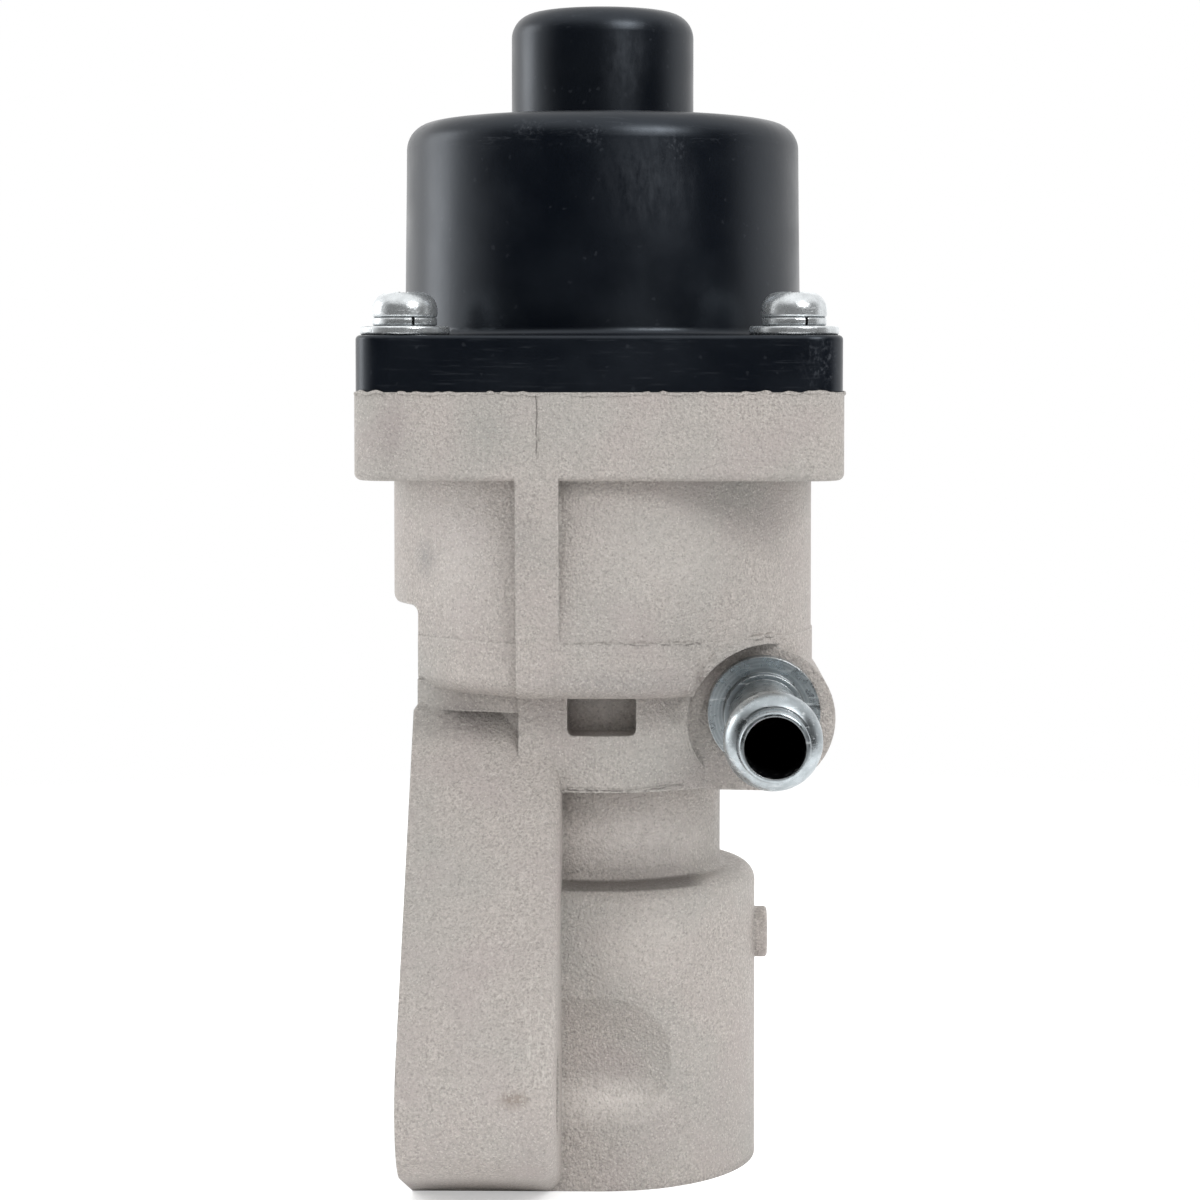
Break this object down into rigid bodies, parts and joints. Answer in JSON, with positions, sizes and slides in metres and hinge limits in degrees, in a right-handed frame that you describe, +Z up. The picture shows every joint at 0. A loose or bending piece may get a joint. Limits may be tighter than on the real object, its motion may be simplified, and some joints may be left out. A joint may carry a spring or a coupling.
{
  "type": "egr valve",
  "caption": "Stepper-driven exhaust gas recirculation valve: cast body with a side mounting flange, hose nipple and black motor cover.",
  "frame": {"origin": "where the valve axis meets the machined base face, at the mouth of the gas inlet", "axes": "+Z up along the valve axis towards the motor cover; the hose nipple points to -Y, the mounting flange faces -X and the electrical socket faces +Y"},
  "size_m": [0.0542, 0.0873, 0.1353],
  "materials": {
    "cast_aluminium": "sand-blasted casting",
    "stainless": "turned",
    "bronze": "turned",
    "seal_rubber": "moulded",
    "spring_steel": "drawn",
    "zinc_steel": "blue zinc plated",
    "magnet": "sintered",
    "bearing_steel": "ground",
    "pale_plastic": "moulded",
    "copper": "enamelled wire",
    "black_plastic": "satin moulded",
    "tinned_brass": "tinned"
  },
  "bodies": {
    "root": {"valve_housing": "cast_aluminium", "valve_seat": "stainless", "guide_bush": "bronze", "stem_shield": "stainless", "stem_seal": "seal_rubber", "lower_spring_seat": "stainless", "motor_front_plate": "zinc_steel", "lower_bearing_outer_ring": "bearing_steel", "lower_bearing_balls": "bearing_steel", "upper_bearing_outer_ring": "bearing_steel", "upper_bearing_balls": "bearing_steel", "bearing_preload_washer": "spring_steel", "lower_phase_lower_yoke": "zinc_steel", "lower_phase_upper_yoke": "zinc_steel", "upper_phase_lower_yoke": "zinc_steel", "upper_phase_upper_yoke": "zinc_steel", "lower_phase_bobbin": "pale_plastic", "upper_phase_bobbin": "pale_plastic", "lower_phase_winding": "copper", "upper_phase_winding": "copper", "motor_cover": "black_plastic", "cover_seal": "seal_rubber", "connector_pins": "tinned_brass", "cover_screws": "zinc_steel", "spring_washers": "zinc_steel", "flat_washers": "zinc_steel", "hose_nipple": "zinc_steel"},
    "rotor": {"rotor_nut": "bronze", "rotor_magnet": "magnet", "lower_bearing_inner_ring": "bearing_steel", "upper_bearing_inner_ring": "bearing_steel"},
    "shaft": {"motor_shaft": "stainless"},
    "valve": {"valve_stem": "stainless", "valve_disc": "stainless", "spring_retainer": "stainless", "retaining_clip": "spring_steel", "return_spring": "spring_steel"}
  },
  "joints": [
    {"name": "rotor_spin", "type": "hinge", "parent": "root", "child": "rotor", "pos_m": [0, 0, 0.1], "axis": [0, 0, 1], "range_deg": [0, 450]},
    {"name": "shaft_slide", "type": "slide", "parent": "root", "child": "shaft", "axis": [0, 0, -1], "range_m": [0, 0.005]},
    {"name": "valve_lift", "type": "slide", "parent": "root", "child": "valve", "axis": [0, 0, -1], "range_m": [0, 0.005], "deforming": ["return_spring"]}
  ],
  "couplings": [
    {"joint": "shaft_slide", "follows": "rotor_spin", "m_per_rad": 0.00063662},
    {"joint": "valve_lift", "follows": "rotor_spin", "m_per_rad": 0.00063662}
  ]
}
